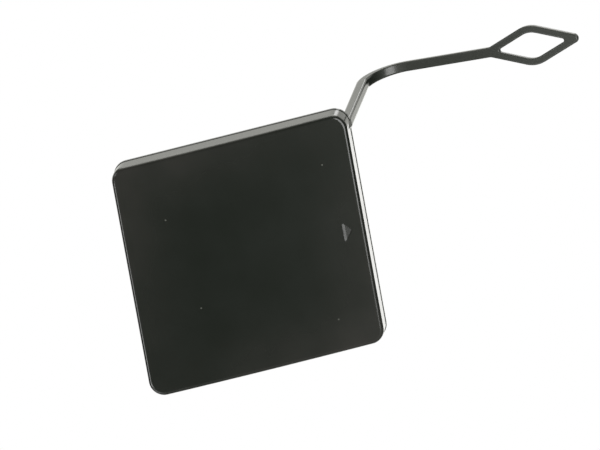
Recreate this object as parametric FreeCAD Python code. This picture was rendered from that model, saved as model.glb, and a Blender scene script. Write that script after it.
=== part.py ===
import FreeCAD, Part
import math
import os

# Bumper tow hook cover, moulded in one piece: a shallow cap with a leaning, round-cornered face,
# clips and pivot tongues behind it, and a strap with an eye that keeps the cover on the car.
# Millimetres. X runs to the right along the top edge, Y runs back into the bumper, Z is up.
# The origin is the middle of the seat, the flat rear rim that lies on the bumper's step.

V = FreeCAD.Vector

# Face and rim
face_width = 61.0
face_height = 59.4
side_lean = 6.9
corner_radius = 3.7
rim_depth = 6.0
face_crown = 0.6
edge_round = 0.9
wall = 1.8
face_thickness = 2.2
lip_height = 0.12
lip_depth = 0.8
floor_fillet = 0.5

# Press mark: a shallow triangle that points at the side to push, with a sloping side along its base
mark_height = 5.4
mark_length = 2.35
mark_from_side = 3.15
mark_below_middle = 0.8
mark_tip_above_middle = 0.5
mark_slope_width = 0.6
mark_slope_recess = 0.2
mark_tip_recess = 0.52
mark_corner = 0.25

# Step and skin of the bumper's opening, which the clips work in
step_width = 3.0
skin_thickness = 2.5
skin_clearance = 0.2

# Snap hooks behind the left side
hook_spacing = 30.0
hook_width = 8.0
hook_thickness = 1.5
hook_reach = 7.5
hook_catch = 1.5
hook_land = 0.5
hook_tip = 0.8
hook_root_flare = 0.6
hook_root_height = 1.2

# Pivot tongues behind the right side
tongue_spacing = 30.0
tongue_width = 6.0
tongue_thickness = 1.6
tongue_catch = 1.3
tongue_slope = 0.4
tongue_root_length = 3.0
tongue_root_top = 0.6

# Guide fins behind the top and bottom sides
fin_spacing = 32.0
fin_width = 7.0
fin_thickness = 1.2
fin_reach = 2.4
fin_bevel_width = 0.5
fin_bevel_length = 1.0
gusset_length = 3.2
gusset_thickness = 1.0
gusset_below_tip = 0.8

# Stiffening ribs and mould marks in the hollow
rib_thickness = 1.0
rib_height = 1.5
rib_spacing = 20.0
ejector_diameter = 4.0
ejector_depth = 0.2
ejector_spacing = 38.0
gate_diameter = 2.4
gate_height = 0.4

# Strap: leg straight back from the rim, bend that thins it, straight run and eye
leg_length = 30.5
leg_thickness = 2.7
leg_height = 2.6
leg_edge_round = 0.7
leg_from_middle = 25.2
leg_stand_out = 0.35
leg_foot_sink = 0.1
leg_boss_width = 2.4
leg_boss_margin = 1.0
bend_radius = 8.4
bend_angle = 105.9
bend_sections = 6
twist_angle = 8.0
twist_start = 30.0
strap_length = 20.0
strap_thickness = 1.3
strap_start_height = 2.5
strap_end_height = 2.5
strap_edge_round = 0.35
strap_joint_radius = 2.0

# Eye, measured from where its outer lines would cross on the strap's middle line
eye_length = 30.4
eye_widest = 15.1
eye_half_height = 5.5
eye_bar = 1.8
eye_nose_radius = 1.22
eye_shoulder_radius = 7.4
eye_hole_end_radius = 0.45

# Corner radii of the clips' profiles, and how far a piece runs into the one that carries it
small_corner = 0.25
soft_corner = 1.0
run_in = 0.1

lean = math.radians(side_lean)
floor_y = face_thickness - rim_depth
catch_y = skin_thickness + skin_clearance
root_y = floor_y - run_in


def rounded_face(corners, radii, place):
    """A flat face with an arc at each corner that has a radius; place maps (a, b) to space."""
    stops = []
    for i, (x, y) in enumerate(corners):
        before, after = corners[i - 1], corners[(i + 1) % len(corners)]
        corner = V(x, y, 0)
        if radii[i] == 0:
            stops.append([corner])
            continue
        u = V(before[0] - x, before[1] - y, 0).normalize()
        v = V(after[0] - x, after[1] - y, 0).normalize()
        half = u.getAngle(v) / 2
        reach = radii[i] / math.tan(half)
        middle = (u + v).normalize() * (radii[i] / math.sin(half) - radii[i])
        stops.append([corner + u * reach, corner + middle, corner + v * reach])
    edges = []
    for i, stop in enumerate(stops):
        points = [place(p.x, p.y) for p in stop]
        following = stops[(i + 1) % len(stops)][0]
        if len(points) > 1:
            edges.append(Part.Arc(*points).toShape())
        edges.append(Part.LineSegment(points[-1], place(following.x, following.y)).toShape())
    return Part.Face(Part.Wire(edges))


def plate_corners(inset):
    """The leaning outline's corners in X and Z, moved in by inset on every side."""
    half_height = face_height / 2 - inset
    half_width = face_width / 2 - inset / math.cos(lean)
    shift = half_height * math.tan(lean)
    return [
        (-half_width - shift, -half_height),
        (half_width - shift, -half_height),
        (half_width + shift, half_height),
        (-half_width + shift, half_height),
    ]


def plate_prism(inset, front, back):
    radius = max(corner_radius - inset, floor_fillet + run_in)
    face = rounded_face(plate_corners(inset), [radius] * 4, lambda a, b: V(a, front, b))
    return face.extrude(V(0, back - front, 0))


def crown_front(from_middle):
    """Y of the face at a distance to the side of its middle; it curves back towards both sides."""
    drop = face_crown * (from_middle / (face_width / 2)) ** 2
    return drop - rim_depth - face_crown


def crown_roll():
    """Large cylinder that leans with the sides and whose front is the curved face."""
    half_side = face_width / 2
    radius = (half_side**2 + face_crown**2) / (2 * face_crown)
    along = V(math.sin(lean), 0, math.cos(lean))
    middle = V(0, crown_front(0) + radius, 0)
    return Part.makeCylinder(radius, 2 * face_height, middle - along * face_height, along)


def rim_lip():
    """Low lip round the rear edge of the rim, where the halves of the mould met."""
    lip = plate_prism(-lip_height, -lip_depth, 0)
    front_edges = [e for e in lip.Edges if e.BoundBox.YMax < run_in - lip_depth]
    return lip.makeChamfer(lip_height, front_edges)


def cap():
    """Crowned face with a rounded front edge and a hollow behind it."""
    blank = plate_prism(0, crown_front(0) - run_in, 0).common(crown_roll())
    deepest = crown_front(face_width / 2) + run_in
    front_edges = [e for e in blank.Edges if e.BoundBox.YMax < deepest]
    blank = blank.makeFillet(edge_round, front_edges)
    hollow = plate_prism(wall, floor_y, 0)
    floor_edges = [e for e in hollow.Edges if e.BoundBox.YMax < floor_y + run_in]
    return blank.fuse(rim_lip()).cut(hollow.makeFillet(floor_fillet, floor_edges))


def side_place(side, along):
    """Local frame on one side line at the seat: x points outwards, y back, z along the side."""
    slope = math.tan(lean)
    if side in ("left", "right"):
        sign = 1 if side == "right" else -1
        out = V(sign * math.cos(lean), 0, -sign * math.sin(lean))
        point = V(sign * face_width / 2 + along * slope, 0, along)
    else:
        sign = 1 if side == "top" else -1
        out = V(0, 0, sign)
        point = V(along + sign * face_height / 2 * slope, 0, sign * face_height / 2)
    back = V(0, 1, 0)
    run = out.cross(back)
    rows = [(out.x, back.x, run.x, point.x), (out.y, back.y, run.y, point.y)]
    rows += [(out.z, back.z, run.z, point.z), (0, 0, 0, 1)]
    return FreeCAD.Placement(FreeCAD.Matrix(*[value for row in rows for value in row]))


def profile_piece(corners, radii, width, place):
    """A profile in the local x-y plane, extruded by width about it and put on its side."""
    face = rounded_face(corners, radii, lambda a, b: V(a, b, -width / 2))
    piece = face.extrude(V(0, 0, width))
    piece.Placement = place
    return piece


def snap_hook(along):
    """Springy beam with a barb that catches behind the bumper's skin."""
    outer = -step_width
    inner = outer - hook_thickness
    root_top = floor_y + hook_root_height
    barb_y = catch_y + hook_catch
    corners = [
        (inner - hook_root_flare, root_y),
        (inner, root_top),
        (inner, hook_reach),
        (inner + hook_tip, hook_reach),
        (outer + hook_catch, barb_y + hook_land),
        (outer + hook_catch, barb_y),
        (outer, catch_y),
        (outer, root_top),
        (outer + hook_root_flare, root_y),
    ]
    radii = [0, soft_corner, small_corner, small_corner, small_corner, small_corner, small_corner, soft_corner, 0]
    return profile_piece(corners, radii, hook_width, side_place("left", along))


def pivot_tongue(along):
    """Stiff tongue that turns outwards and swings behind the bumper's skin."""
    outer = -step_width
    inner = outer - tongue_thickness
    end = outer + tongue_catch
    top_y = catch_y + tongue_thickness
    corners = [
        (inner - tongue_root_length, root_y),
        (inner, tongue_root_top),
        (inner, top_y),
        (end, top_y),
        (end, catch_y + tongue_slope),
        (outer, catch_y),
        (outer, root_y),
    ]
    radii = [0, soft_corner, soft_corner, small_corner, small_corner, small_corner, 0]
    return profile_piece(corners, radii, tongue_width, side_place("right", along))


def guide_fin(side, along):
    """Fin that centres the cover in the opening, with a gusset behind it."""
    place = side_place(side, along)
    outer = -step_width
    inner = outer - fin_thickness
    fin = [
        (inner, root_y),
        (inner, fin_reach),
        (outer - fin_bevel_width, fin_reach),
        (outer, fin_reach - fin_bevel_length),
        (outer, root_y),
    ]
    blade = profile_piece(fin, [0, small_corner, small_corner, small_corner, 0], fin_width, place)
    gusset_top = fin_reach - gusset_below_tip
    middle = inner + fin_thickness / 2
    gusset = [(inner - gusset_length, root_y), (inner, gusset_top), (middle, gusset_top), (middle, root_y)]
    brace = profile_piece(gusset, [0, 0, 0, 0], gusset_thickness, place)
    return [blade, brace]


def hollow_rib(start, end, across):
    """Low rib on the hollow's floor between two points in X and Z, with its thickness along across."""
    half = across * (rib_thickness / 2)
    corners = [start - half, end - half, end + half, start + half]
    wire = Part.makePolygon([V(p.x, root_y, p.z) for p in corners + corners[:1]])
    return Part.Face(wire).extrude(V(0, rib_height + run_in, 0))


def hollow_ribs():
    """Crossing ribs that stiffen the face: two lean with its sides, two run level."""
    slope = math.tan(lean)
    end_z = (face_height - wall) / 2
    end_x = (face_width - wall) / 2
    leaning = V(math.cos(lean), 0, -math.sin(lean))
    ribs = []
    for middle in (-rib_spacing / 2, rib_spacing / 2):
        ribs.append(hollow_rib(V(middle - end_z * slope, 0, -end_z), V(middle + end_z * slope, 0, end_z), leaning))
        shift = middle * slope
        ribs.append(hollow_rib(V(shift - end_x, 0, middle), V(shift + end_x, 0, middle), V(0, 0, 1)))
    return ribs


def ejector_marks():
    """Shallow round prints of the mould's ejector pins in the hollow's floor."""
    half = ejector_spacing / 2
    pins = []
    for x in (-half, half):
        for z in (-half, half):
            at = V(x + z * math.tan(lean), floor_y - ejector_depth, z)
            pins.append(Part.makeCylinder(ejector_diameter / 2, ejector_depth + run_in, at, V(0, 1, 0)))
    return pins


def gate_stub():
    """Stub where the plastic entered the mould."""
    return Part.makeCylinder(gate_diameter / 2, gate_height + run_in, V(0, root_y, 0), V(0, 1, 0))


def press_mark():
    """Cutter for the shallow triangle: its floor slopes down from the base and on towards the tip."""
    tip = -mark_from_side
    base = tip - mark_length
    half = mark_height / 2
    above = crown_front(0) - run_in
    surface = crown_front(face_width / 2 - mark_from_side - mark_length / 2)
    corners = [(base, -half), (tip, mark_tip_above_middle), (base, half)]
    outline = rounded_face(corners, [mark_corner] * 3, lambda a, b: V(a, above, b))
    depth = surface + mark_tip_recess - above
    profile = [
        (base, above),
        (base, surface),
        (base + mark_slope_width, surface + mark_slope_recess),
        (tip, surface + mark_tip_recess),
        (tip, above),
    ]
    floor = rounded_face(profile, [0] * len(profile), lambda a, b: V(a, b, -half))
    cutter = outline.extrude(V(0, depth, 0)).common(floor.extrude(V(0, 0, mark_height)))
    cutter.Placement = side_place("right", -mark_below_middle)
    return cutter


def strap_section(centre, side, up, share):
    """Rounded rectangle across the strap, from the leg's at share 0 to the straight run's at share 1."""
    a = (leg_thickness + (strap_thickness - leg_thickness) * share) / 2
    b = (leg_height + (strap_start_height - leg_height) * share) / 2
    radius = leg_edge_round + (strap_edge_round - leg_edge_round) * share
    corners = [(-a, -b), (a, -b), (a, b), (-a, b)]
    return rounded_face(corners, [radius] * 4, lambda s, u: centre + side * s + up * u).OuterWire


def strap_frame(angle):
    """Centre, direction, outer side and upper side of the strap at an angle round its bend."""
    wall_x = face_width / 2 + leg_from_middle * math.tan(lean)
    leg_x = wall_x + leg_stand_out - leg_thickness / 2
    turn = math.radians(angle)
    x = leg_x + bend_radius * (1 - math.cos(turn))
    centre = V(x, leg_length + bend_radius * math.sin(turn), leg_from_middle)
    along = V(math.sin(turn), math.cos(turn), 0)
    out = V(-math.cos(turn), math.sin(turn), 0)
    share = max(0.0, (angle - twist_start) / (bend_angle - twist_start))
    twist = math.radians(twist_angle) * share * share * (3 - 2 * share)
    up = V(0, 0, 1) * math.cos(twist) + out * math.sin(twist)
    side = out * math.cos(twist) - V(0, 0, 1) * math.sin(twist)
    return centre, along, side, up


def leg():
    """Straight leg; its foot rises slowly out of the rim's side, beside the top corner."""
    centre, along, side, up = strap_frame(0)
    seat = centre - along * leg_length
    foot = seat + along * root_y + side * (leg_stand_out + leg_foot_sink)
    sections = [strap_section(point, side, up, 0) for point in (foot, seat, centre)]
    return Part.makeLoft(sections, True, True)


def leg_boss():
    """Block in the hollow that carries the leg's inner side."""
    centre = strap_frame(0)[0]
    height = leg_height + 2 * leg_boss_margin
    inner_x = centre.x - leg_thickness / 2 - leg_boss_margin / 2
    return Part.makeBox(leg_boss_width, -root_y, height, V(inner_x, root_y, centre.z - height / 2))


def bend():
    """Round turn of the strap, which thins and leans back as it turns."""
    sections = []
    for i in range(bend_sections + 1):
        share = i / bend_sections
        centre, along, side, up = strap_frame(bend_angle * share)
        sections.append(strap_section(centre, side, up, share))
    return Part.makeLoft(sections, True, False)


def eye_outline():
    """Corners and radii of the strap's straight run and the eye, along and across the strap."""
    joint = eye_widest * strap_end_height / 2 / eye_half_height
    upper = [(-strap_length, strap_start_height / 2), (joint, strap_end_height / 2), (eye_widest, eye_half_height)]
    lower = [(a, -b) for a, b in reversed(upper)]
    radii = [0, strap_joint_radius, eye_shoulder_radius]
    return upper + [(eye_length, 0)] + lower, radii + [eye_nose_radius] + radii[::-1]


def eye_hole():
    """Corners and radii of the hole: the outer rhombus moved in by the bar's width."""
    front = math.atan2(eye_half_height, eye_widest)
    back = math.atan2(eye_half_height, eye_length - eye_widest)
    start = eye_bar / math.sin(front)
    end = eye_length - eye_bar / math.sin(back)
    widest = (start * math.tan(front) + end * math.tan(back)) / (math.tan(front) + math.tan(back))
    top = (widest - start) * math.tan(front)
    shoulder = eye_shoulder_radius - eye_bar
    radii = [eye_hole_end_radius, shoulder, eye_hole_end_radius, shoulder]
    return [(start, 0), (widest, top), (end, 0), (widest, -top)], radii


def strap_and_eye():
    """Flat strap that widens into a rhombic eye with a blunt nose, all its long edges rounded."""
    centre, along, side, up = strap_frame(bend_angle)
    origin = centre + along * strap_length - side * (strap_thickness / 2)

    def place(a, b):
        return origin + along * a + up * b

    blade = rounded_face(*eye_outline(), place).extrude(side * strap_thickness)
    blade = blade.cut(rounded_face(*eye_hole(), place).extrude(side * strap_thickness))

    def is_long(edge):
        points = [vertex.Point for vertex in edge.Vertexes]
        runs_across = abs((points[-1] - points[0]).dot(side)) > run_in
        at_bend = all(abs((point - centre).dot(along)) < run_in for point in points)
        return not runs_across and not at_bend

    return blade.makeFillet(strap_edge_round, [edge for edge in blade.Edges if is_long(edge)])


def tow_cover():
    pieces = [gate_stub(), leg_boss(), leg(), bend(), strap_and_eye()] + hollow_ribs()
    for sign in (-1, 1):
        pieces.append(snap_hook(sign * hook_spacing / 2))
        pieces.append(pivot_tongue(sign * tongue_spacing / 2))
        for side in ("top", "bottom"):
            pieces += guide_fin(side, sign * fin_spacing / 2)
    body = cap().multiFuse(pieces)
    return body.cut(ejector_marks() + [press_mark()]).removeSplitter()


os.makedirs("parts", exist_ok=True)
cover = tow_cover()
print("solids", len(cover.Solids), "valid", cover.isValid(), "volume", round(cover.Volume, 1))
cover.Solids[0].exportStep("parts/tow_cover.step")
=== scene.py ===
import math

import bpy
from mathutils import Matrix, Vector


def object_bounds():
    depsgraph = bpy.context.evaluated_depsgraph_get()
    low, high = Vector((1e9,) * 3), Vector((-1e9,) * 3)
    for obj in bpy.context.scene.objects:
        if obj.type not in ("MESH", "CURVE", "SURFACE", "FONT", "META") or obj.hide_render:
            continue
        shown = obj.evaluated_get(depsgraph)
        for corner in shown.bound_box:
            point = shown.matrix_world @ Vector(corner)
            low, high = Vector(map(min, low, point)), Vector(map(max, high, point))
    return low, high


# Looks of a bumper tow hook cover: one injection-moulded piece of black polypropylene with a smooth
# face, a hollow back and a strap with an eye. Everything is in metres, in the frame of the solids:
# X to the right, Y back into the bumper, Z up, from the middle of the rim's rear edge.

MM = 0.001

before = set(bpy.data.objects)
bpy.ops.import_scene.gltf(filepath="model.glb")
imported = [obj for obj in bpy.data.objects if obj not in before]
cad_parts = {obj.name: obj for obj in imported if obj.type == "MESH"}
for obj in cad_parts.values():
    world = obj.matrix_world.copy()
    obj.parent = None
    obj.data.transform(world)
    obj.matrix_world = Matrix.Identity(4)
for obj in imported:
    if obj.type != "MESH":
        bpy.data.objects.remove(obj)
cad_low, cad_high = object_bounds()
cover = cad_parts["tow_cover"]

# Camera: a long lens in front of the part, a little above it and to its right, rolled so that upright
# lines lean to the left
PHOTO_WIDTH_PX = 600
PHOTO_HEIGHT_PX = 450
SEAT_IN_PHOTO_PX = (250.70, 248.71)
SCALE_PX_PER_MM = 4.0445
CAMERA_DISTANCE = 5.0
CAMERA_CLIP = (0.1, 100.0)
SENSOR_MM = 36.0
CAMERA_RIGHT = Vector((0.9486, 0.1316, -0.2879))
CAMERA_BACK = Vector((0.2099, -0.9422, 0.2610))

# Face of the cover: half its width and height, how far its sides lean per height, where its front lies
# in the middle, and how far the crown falls back from there to the sides
FACE_HALF_WIDTH = 30.5 * MM
FACE_HALF_HEIGHT = 29.7 * MM
FACE_LEAN = 0.121
FACE_FRONT = -6.6 * MM
FACE_CROWN = 0.6 * MM

# Colours of the plastic, of the painted sheen and the dust on it, and of the satin strap. The painted sheen
# is a lighter grey, which stands in for the light that the crowned face mirrors near its edges.
BLACK_DEEP = "151914"
BLACK_PALE = "191D19"
PAINTED_SHEEN_GREY = "2A2A27"
DUST_GREY = "5C5E58"
SATIN_BLACK = "3A3C38"

# Typical refractive index of polypropylene
PLASTIC_IOR = 1.49

# Patches of tint and roughness, and the values between which most of a noise texture lies
TINT_SIZE = 9 * MM
NOISE_LOW = 0.3
NOISE_HIGH = 0.7

# Roughness of the polished skin at its finest and coarsest, and how much rougher the press mark's floor
# and the strap are
POLISHED_FINEST = 0.13
POLISHED_COARSEST = 0.19
MARK_ROUGHNESS = 0.04
SATIN_ROUGHNESS = 0.11

# Relief of the skin: the waves where the melt shrank, and the tool's grain. The real grain is too fine to
# show, so it is drawn as coarse as it needs to be.
WAVE_SIZE = 26 * MM
WAVE_HEIGHT = 0.2 * MM
GRAIN_SIZE = 0.5 * MM
GRAIN_HEIGHT = 0.001 * MM

# Painted sheen, a lighter colour that stands in for the light the crowned face mirrors near its edges and
# corners: the shares of the way from the face's middle to its edge where it starts and is full, how softly
# it turns the corners, and the depths on the rim's wall where it is whole and has gone
SHEEN_FROM = 0.35
SHEEN_FULL = 1.1
SHEEN_TURN = 0.3
SHEEN_WHOLE = -5.2 * MM
SHEEN_GONE = -4.2 * MM

# It is least on the face's diagonal from lower left to upper right, and grows to full off that diagonal
SHEEN_LEAST = 0.25
SLANT_FROM = 0.2
SLANT_FULL = 1.8

# Its clouds: their size, and the shares to which they thin and thicken it
CLOUD_SIZE = 14 * MM
CLOUD_THIN = 0.55
CLOUD_THICK = 1.25

# Specks of dust
SPECK_SPACING = 29 * MM
SPECK_SIZE = 0.24 * MM

# Press mark: its middle, how far it reaches from there, and how deep its floor is at least
MARK_MIDDLE = (26.0 * MM, -6.0 * MM, -0.8 * MM)
MARK_REACH = 3.3 * MM
MARK_SINK = 0.02 * MM

# Where the finish turns from polished to satin, from the leg's outer face into the bend
SATIN_FROM = 33.5 * MM
SATIN_FULL = 39 * MM

# Floor of the studio: how far it lies below the part, its tones for the camera and for the part, and how
# far it is lifted towards white
FLOOR_DROP = 0.20
FLOOR_SIZE = 0.8
FLOOR_WHITE = "F4F4F2"
FLOOR_DIM = "8A8A88"
FLOOR_ROUGHNESS = 0.9
FLOOR_LIFT = 0.75

# Pool of light on the floor, which the cover mirrors in its lower left corner
POOL_PLACE = (-0.25, -0.18)
POOL_RADIUS = 0.17
POOL_GLOW = 3.2

# The room as the part sees it, a trace yellower than white. Each glow has a direction, the half angles in
# degrees where it is full and where it has faded, and a strength, where 1 is white. The white backdrop
# lights the top wall, the leg and the right wall, and fills the hollow back together with the rear glows.
# The camera's side is dim, which leaves the face dark. The ceiling and rear_top draw the light line along
# the top edge.
ROOM_TONE = "FFFFF8"
ROOM_DIM = 0.05
ROOM_GLOWS = {
    "backdrop": ((0.0, 1.0, 0.05), 22, 38, 1.08),
    "camera_side": ((-0.21, -0.94, -0.26), 20, 44, 0.10),
    "camera_right": ((0.30, -0.94, -0.20), 10, 32, 0.5),
    "ceiling": ((-0.10, 0.10, 0.99), 20, 40, 1.0),
    "rear_top": ((0.0, 0.55, 0.83), 18, 34, 2.8),
    "rear_left": ((-0.85, 0.50, 0.25), 12, 28, 1.6),
    "rear_right": ((0.70, 0.60, 0.40), 10, 26, 1.4),
}

# Softboxes: direction, distance in metres, half width and half height in degrees, and radiance, where 1 is
# white. wide_right lights the face and the strap and draws the line on the right edge, which fades towards
# its foot, where the lamp ends. wide_left draws the line on the left edge, and corner_left the glint on the
# upper left corner. rear_low whitens the right wall, and rear_high draws the glint on the upper right corner
# and thin lines along the leg and the eye.
SOFTBOXES = {
    "wide_right": ((0.510, -0.853, 0.115), 0.5, 17, 27, 5.6),
    "wide_left": ((-0.71, -0.60, -0.38), 1.2, 11, 13.5, 5.8),
    "corner_left": ((-0.79, -0.50, 0.35), 1.2, 9, 8, 4.0),
    "rear_low": ((0.15, 0.93, -0.34), 1.2, 7, 5, 1.3),
    "rear_high": ((0.12, 0.93, 0.35), 1.2, 4, 4, 3.0),
}


def linear(hex_colour):
    """An sRGB hex colour as linear RGBA."""
    channels = [int(hex_colour[i : i + 2], 16) / 255 for i in (0, 2, 4)]
    return [c / 12.92 if c <= 0.04045 else ((c + 0.055) / 1.055) ** 2.4 for c in channels] + [1.0]


def add(tree, kind, links=None, inputs=None, **settings):
    """Adds a node, sets its attributes and input values, and links other nodes' outputs to its inputs."""
    node = tree.nodes.new(kind)
    for name, value in settings.items():
        setattr(node, name, value)
    for key, value in (inputs or {}).items():
        node.inputs[key].default_value = value
    for key, source in (links or {}).items():
        tree.links.new(source, node.inputs[key])
    return node


def new_material(name):
    """An empty node material and its tree, with the output node."""
    material = bpy.data.materials.new(name)
    material.use_nodes = True
    tree = material.node_tree
    tree.nodes.clear()
    return material, tree, add(tree, "ShaderNodeOutputMaterial")


def share_across(tree, at):
    """Place across the leaning face: 0 on its middle line, -1 and 1 on its sides."""
    leaning = add(
        tree,
        "ShaderNodeMath",
        {0: at.outputs["Z"], 2: at.outputs["X"]},
        {1: -FACE_LEAN},
        operation="MULTIPLY_ADD",
    )
    return add(
        tree,
        "ShaderNodeMath",
        {0: leaning.outputs[0]},
        {1: 1 / FACE_HALF_WIDTH},
        operation="MULTIPLY",
    )


def mark_floor(tree, place, at, across):
    """1 on the sunk floor of the press mark, where the tool is spark-eroded, and 0 elsewhere."""
    near = add(tree, "ShaderNodeVectorMath", {0: place}, {1: MARK_MIDDLE}, operation="DISTANCE")
    inside = add(tree, "ShaderNodeMath", {0: near.outputs["Value"]}, {1: MARK_REACH}, operation="LESS_THAN")
    curve = add(tree, "ShaderNodeMath", {0: across.outputs[0]}, {1: 2.0}, operation="POWER")
    surface = add(
        tree,
        "ShaderNodeMath",
        {0: curve.outputs[0]},
        {1: FACE_CROWN, 2: FACE_FRONT + MARK_SINK},
        operation="MULTIPLY_ADD",
    )
    sunk = add(tree, "ShaderNodeMath", {0: at.outputs["Y"], 1: surface.outputs[0]}, operation="GREATER_THAN")
    return add(tree, "ShaderNodeMath", {0: inside.outputs[0], 1: sunk.outputs[0]}, operation="MULTIPLY")


def painted_sheen(tree, place, at, across):
    """How much painted sheen, a lighter colour standing in for mirrored light, lies on a point of the face:
    none in its middle, most in soft clouds near its upper left and lower right corners."""
    upwards = add(
        tree,
        "ShaderNodeMath",
        {0: at.outputs["Z"]},
        {1: 1 / FACE_HALF_HEIGHT},
        operation="MULTIPLY",
    )
    sideways = add(tree, "ShaderNodeMath", {0: across.outputs[0]}, operation="ABSOLUTE")
    endways = add(tree, "ShaderNodeMath", {0: upwards.outputs[0]}, operation="ABSOLUTE")
    edge = add(
        tree,
        "ShaderNodeMath",
        {0: sideways.outputs[0], 1: endways.outputs[0]},
        {2: SHEEN_TURN},
        operation="SMOOTH_MAX",
    )
    rim = add(
        tree,
        "ShaderNodeMapRange",
        {"Value": edge.outputs[0]},
        {"From Min": SHEEN_FROM, "From Max": SHEEN_FULL},
        interpolation_type="SMOOTHSTEP",
    )
    slant = add(
        tree,
        "ShaderNodeMath",
        {0: across.outputs[0], 1: upwards.outputs[0]},
        operation="SUBTRACT",
    )
    off_diagonal = add(tree, "ShaderNodeMath", {0: slant.outputs[0]}, operation="ABSOLUTE")
    corners = add(
        tree,
        "ShaderNodeMapRange",
        {"Value": off_diagonal.outputs[0]},
        {"From Min": SLANT_FROM, "From Max": SLANT_FULL, "To Min": SHEEN_LEAST, "To Max": 1.0},
    )
    clouds = add(tree, "ShaderNodeTexNoise", {"Vector": place}, {"Scale": 1 / CLOUD_SIZE, "Detail": 2.0})
    patches = add(
        tree,
        "ShaderNodeMapRange",
        {"Value": clouds.outputs["Fac"]},
        {"From Min": NOISE_LOW, "From Max": NOISE_HIGH, "To Min": CLOUD_THIN, "To Max": CLOUD_THICK},
    )
    front = add(
        tree,
        "ShaderNodeMapRange",
        {"Value": at.outputs["Y"]},
        {"From Min": SHEEN_GONE, "From Max": SHEEN_WHOLE},
    )
    total = rim.outputs["Result"]
    for share in (corners, patches, front):
        product = add(tree, "ShaderNodeMath", {0: total, 1: share.outputs["Result"]}, operation="MULTIPLY")
        total = product.outputs["Value"]
    return total


def dust_specks(tree, at):
    """1 on a few tiny specks of dust, at the same places on the face and the back, and 0 elsewhere."""
    flat = add(tree, "ShaderNodeCombineXYZ", {"X": at.outputs["X"], "Y": at.outputs["Z"]})
    nearest = add(
        tree,
        "ShaderNodeTexVoronoi",
        {"Vector": flat.outputs["Vector"]},
        {"Scale": 1 / SPECK_SPACING, "Randomness": 1.0},
        voronoi_dimensions="2D",
    )
    reach = SPECK_SIZE / SPECK_SPACING
    specks = add(
        tree,
        "ShaderNodeMapRange",
        {"Value": nearest.outputs["Distance"]},
        {"From Min": reach, "From Max": reach / 2},
    )
    return specks.outputs["Result"]


def skin_relief(tree, place):
    """Slight waves, which bend the mirror images, and the grain of the tool."""
    shrink = add(tree, "ShaderNodeTexNoise", {"Vector": place}, {"Scale": 1 / WAVE_SIZE, "Detail": 1.0})
    waves = add(
        tree,
        "ShaderNodeBump",
        {"Height": shrink.outputs["Fac"]},
        {"Strength": 1.0, "Distance": WAVE_HEIGHT},
    )
    grain = add(tree, "ShaderNodeTexNoise", {"Vector": place}, {"Scale": 1 / GRAIN_SIZE, "Detail": 2.0})
    relief = add(
        tree,
        "ShaderNodeBump",
        {"Height": grain.outputs["Fac"], "Normal": waves.outputs["Normal"]},
        {"Strength": 1.0, "Distance": GRAIN_HEIGHT},
    )
    return relief.outputs["Normal"]


def moulded_polypropylene():
    """Black polypropylene, injection moulded. The cap and the leg come from the tool's polished part: they
    mirror like dark still water, with a slight waviness where the melt shrank, and near the face's edges a
    painted sheen, a lighter colour that stands in for the light the crowned face mirrors there. The strap's
    run and eye come from its spark-eroded part: satin, a little lighter, and they spread the light."""
    material, tree, output = new_material("polypropylene_moulded_black")
    place = add(tree, "ShaderNodeTexCoord").outputs["Object"]
    at = add(tree, "ShaderNodeSeparateXYZ", {"Vector": place})
    across = share_across(tree, at)
    tint = add(tree, "ShaderNodeTexNoise", {"Vector": place}, {"Scale": 1 / TINT_SIZE, "Detail": 3.0})
    satin = add(
        tree,
        "ShaderNodeMapRange",
        {"Value": at.outputs["X"]},
        {"From Min": SATIN_FROM, "From Max": SATIN_FULL},
        interpolation_type="SMOOTHSTEP",
    )

    polished = add(
        tree,
        "ShaderNodeMapRange",
        {"Value": tint.outputs["Fac"]},
        {
            "From Min": NOISE_LOW,
            "From Max": NOISE_HIGH,
            "To Min": POLISHED_FINEST,
            "To Max": POLISHED_COARSEST,
        },
    )
    with_satin = add(
        tree,
        "ShaderNodeMath",
        {0: satin.outputs["Result"], 2: polished.outputs["Result"]},
        {1: SATIN_ROUGHNESS},
        operation="MULTIPLY_ADD",
    )
    roughness = add(
        tree,
        "ShaderNodeMath",
        {0: mark_floor(tree, place, at, across).outputs[0], 2: with_satin.outputs[0]},
        {1: MARK_ROUGHNESS},
        operation="MULTIPLY_ADD",
    )

    colour = add(
        tree,
        "ShaderNodeMix",
        {"Factor": tint.outputs["Fac"]},
        {"A": linear(BLACK_DEEP), "B": linear(BLACK_PALE)},
        data_type="RGBA",
    )
    # The first layer is painted sheen: a lighter grey near the face's edges and corners, which stands in for
    # mirrored light
    layers = (
        (painted_sheen(tree, place, at, across), PAINTED_SHEEN_GREY),
        (dust_specks(tree, at), DUST_GREY),
        (satin.outputs["Result"], SATIN_BLACK),
    )
    for share, layer in layers:
        colour = add(
            tree,
            "ShaderNodeMix",
            {"Factor": share, "A": colour.outputs["Result"]},
            {"B": linear(layer)},
            data_type="RGBA",
        )

    plastic = add(
        tree,
        "ShaderNodeBsdfPrincipled",
        {
            "Base Color": colour.outputs["Result"],
            "Roughness": roughness.outputs[0],
            "Normal": skin_relief(tree, place),
        },
        {"IOR": PLASTIC_IOR},
    )
    tree.links.new(plastic.outputs["BSDF"], output.inputs["Surface"])
    return material


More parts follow.
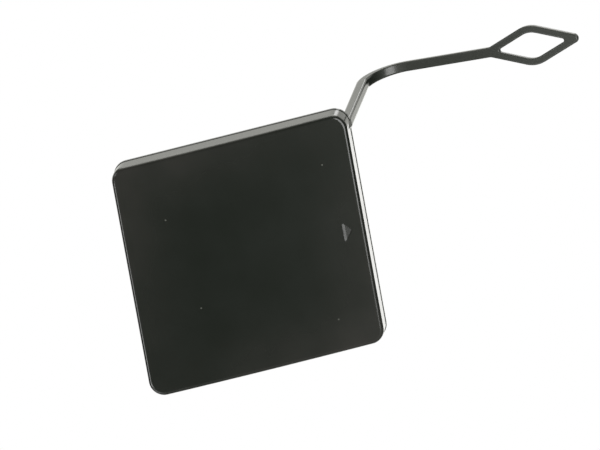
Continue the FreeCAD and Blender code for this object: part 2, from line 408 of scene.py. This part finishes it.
def white_floor():
    """Matt white studio floor. The camera sees it white, with the part's shadow on it. The part itself sees
    a dimmer floor, and on it the pool of a low lamp on its left front."""
    material, tree, output = new_material("studio_floor_matt_white")
    path = add(tree, "ShaderNodeLightPath")
    place = add(tree, "ShaderNodeTexCoord").outputs["Object"]
    pool_middle = (*POOL_PLACE, cad_low.z - FLOOR_DROP)
    off = add(tree, "ShaderNodeVectorMath", {0: place}, {1: pool_middle}, operation="DISTANCE")
    pool = add(
        tree,
        "ShaderNodeMapRange",
        {"Value": off.outputs["Value"]},
        {"From Min": POOL_RADIUS, "From Max": 0.0, "To Max": POOL_GLOW},
        interpolation_type="SMOOTHSTEP",
    )
    lift = add(
        tree,
        "ShaderNodeMix",
        {"Factor": path.outputs["Is Camera Ray"], "A": pool.outputs["Result"]},
        {"B": FLOOR_LIFT},
    )
    tone = add(
        tree,
        "ShaderNodeMix",
        {"Factor": path.outputs["Is Camera Ray"]},
        {"A": linear(FLOOR_DIM), "B": linear(FLOOR_WHITE)},
        data_type="RGBA",
    )
    paint = add(
        tree,
        "ShaderNodeBsdfPrincipled",
        {"Emission Strength": lift.outputs["Result"], "Base Color": tone.outputs["Result"]},
        {"Roughness": FLOOR_ROUGHNESS, "Emission Color": linear("FFFFFF")},
    )
    tree.links.new(paint.outputs["BSDF"], output.inputs["Surface"])
    return material


def glow(tree, direction, towards, full, faded, strength):
    """Strength of one soft glow of the room in a direction."""
    facing = add(
        tree,
        "ShaderNodeVectorMath",
        {0: direction},
        {1: Vector(towards).normalized()},
        operation="DOT_PRODUCT",
    )
    return add(
        tree,
        "ShaderNodeMapRange",
        {"Value": facing.outputs["Value"]},
        {
            "From Min": math.cos(math.radians(faded)),
            "From Max": math.cos(math.radians(full)),
            "To Max": strength,
        },
        interpolation_type="SMOOTHSTEP",
    )


def studio_world():
    """The room's glows for light and mirroring; camera rays see plain white all round."""
    world = bpy.data.worlds.new("studio")
    world.use_nodes = True
    tree = world.node_tree
    tree.nodes.clear()
    direction = add(tree, "ShaderNodeTexCoord").outputs["Generated"]
    total = add(tree, "ShaderNodeValue")
    total.outputs["Value"].default_value = ROOM_DIM
    for values in ROOM_GLOWS.values():
        part = glow(tree, direction, *values)
        total = add(
            tree,
            "ShaderNodeMath",
            {0: part.outputs["Result"], 1: total.outputs["Value"]},
            operation="ADD",
        )
    lit = add(
        tree,
        "ShaderNodeBackground",
        {"Strength": total.outputs["Value"]},
        {"Color": linear(ROOM_TONE)},
    )
    white = add(tree, "ShaderNodeBackground", inputs={"Color": linear("FFFFFF"), "Strength": 1.0})
    path = add(tree, "ShaderNodeLightPath")
    pick = add(
        tree,
        "ShaderNodeMixShader",
        {0: path.outputs["Is Camera Ray"], 1: lit.outputs["Background"], 2: white.outputs["Background"]},
    )
    add(tree, "ShaderNodeOutputWorld", {"Surface": pick.outputs["Shader"]})
    bpy.context.scene.world = world


def hang_softboxes():
    """Area lamps that the plastic mirrors and the camera doesn't see."""
    for name, (towards, distance, half_width, half_height, radiance) in SOFTBOXES.items():
        away = Vector(towards).normalized()
        lamp = bpy.data.lights.new(name, "AREA")
        lamp.shape = "RECTANGLE"
        lamp.size = 2 * distance * math.tan(math.radians(half_width))
        lamp.size_y = 2 * distance * math.tan(math.radians(half_height))
        lamp.energy = radiance * math.pi * lamp.size * lamp.size_y
        box = bpy.data.objects.new(name, lamp)
        bpy.context.collection.objects.link(box)
        turn = away.to_track_quat("Z", "Y").to_matrix().to_4x4()
        box.matrix_world = Matrix.Translation(away * distance) @ turn
        box.visible_camera = False


def lay_floor():
    """Pale floor well below the part, which is shown as it is held in the bumper."""
    half = FLOOR_SIZE / 2
    z = cad_low.z - FLOOR_DROP
    corners = [(-half, -half, z), (half, -half, z), (half, half, z), (-half, half, z)]
    mesh = bpy.data.meshes.new("floor")
    mesh.from_pydata(corners, [], [(0, 1, 2, 3)])
    floor = bpy.data.objects.new("floor", mesh)
    bpy.context.collection.objects.link(floor)
    mesh.materials.append(white_floor())


def set_camera():
    """Long lens that shows the middle of the seat where the photograph has it, at the photograph's scale."""
    back = CAMERA_BACK.normalized()
    right = (CAMERA_RIGHT - back * CAMERA_RIGHT.dot(back)).normalized()
    up = back.cross(right)
    aim = right * ((PHOTO_WIDTH_PX / 2 - SEAT_IN_PHOTO_PX[0]) / SCALE_PX_PER_MM * MM)
    aim += up * ((SEAT_IN_PHOTO_PX[1] - PHOTO_HEIGHT_PX / 2) / SCALE_PX_PER_MM * MM)
    data = bpy.data.cameras.new("camera")
    data.sensor_width = SENSOR_MM
    data.lens = SCALE_PX_PER_MM / MM * CAMERA_DISTANCE * SENSOR_MM / PHOTO_WIDTH_PX
    data.clip_start, data.clip_end = CAMERA_CLIP
    camera = bpy.data.objects.new("camera", data)
    bpy.context.collection.objects.link(camera)
    turn = Matrix((right, up, back)).transposed().to_4x4()
    camera.matrix_world = Matrix.Translation(aim + back * CAMERA_DISTANCE) @ turn
    bpy.context.scene.camera = camera


def dress(piece, material):
    """Gives a piece its material in every slot."""
    for slot in piece.material_slots:
        slot.material = material
    if not piece.material_slots:
        piece.data.materials.append(material)


bpy.context.scene.view_settings.view_transform = "Standard"
studio_world()
hang_softboxes()
lay_floor()
set_camera()
dress(cover, moulded_polypropylene())
